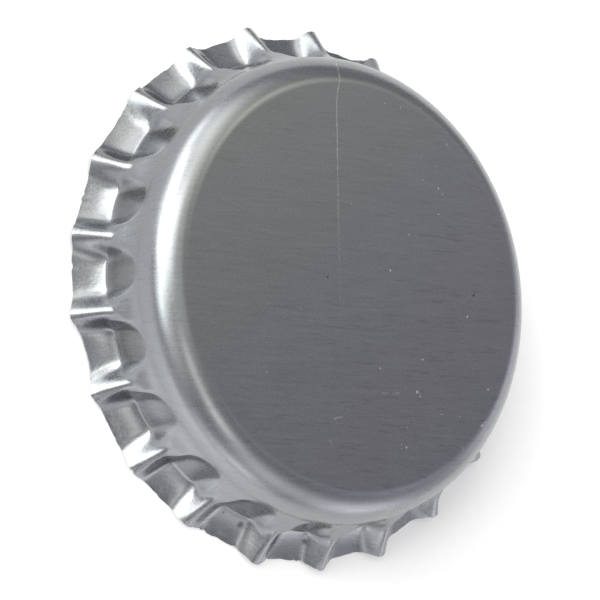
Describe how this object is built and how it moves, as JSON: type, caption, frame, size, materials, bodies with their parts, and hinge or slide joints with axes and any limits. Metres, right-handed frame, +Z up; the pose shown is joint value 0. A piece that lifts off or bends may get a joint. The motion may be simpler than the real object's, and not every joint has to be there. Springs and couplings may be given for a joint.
{
  "type": "bottle cap",
  "caption": "Uncrimped crown cap: a pressed steel shell with a rounded shoulder, a flared fluted skirt and a moulded sealing liner inside.",
  "frame": {"origin": "on the cap's axis, level with the lowest edge of the skirt that it rests on", "axes": "+Z up through the top panel, +X through the tip of one flute"},
  "size_m": [0.0319, 0.032, 0.006],
  "materials": {
    "tinplate": "satin tinplate with fine rolled grain",
    "liner_compound": "soft matt moulded compound"
  },
  "bodies": {
    "root": {"crown_shell": "tinplate", "sealing_liner": "liner_compound"}
  },
  "joints": []
}
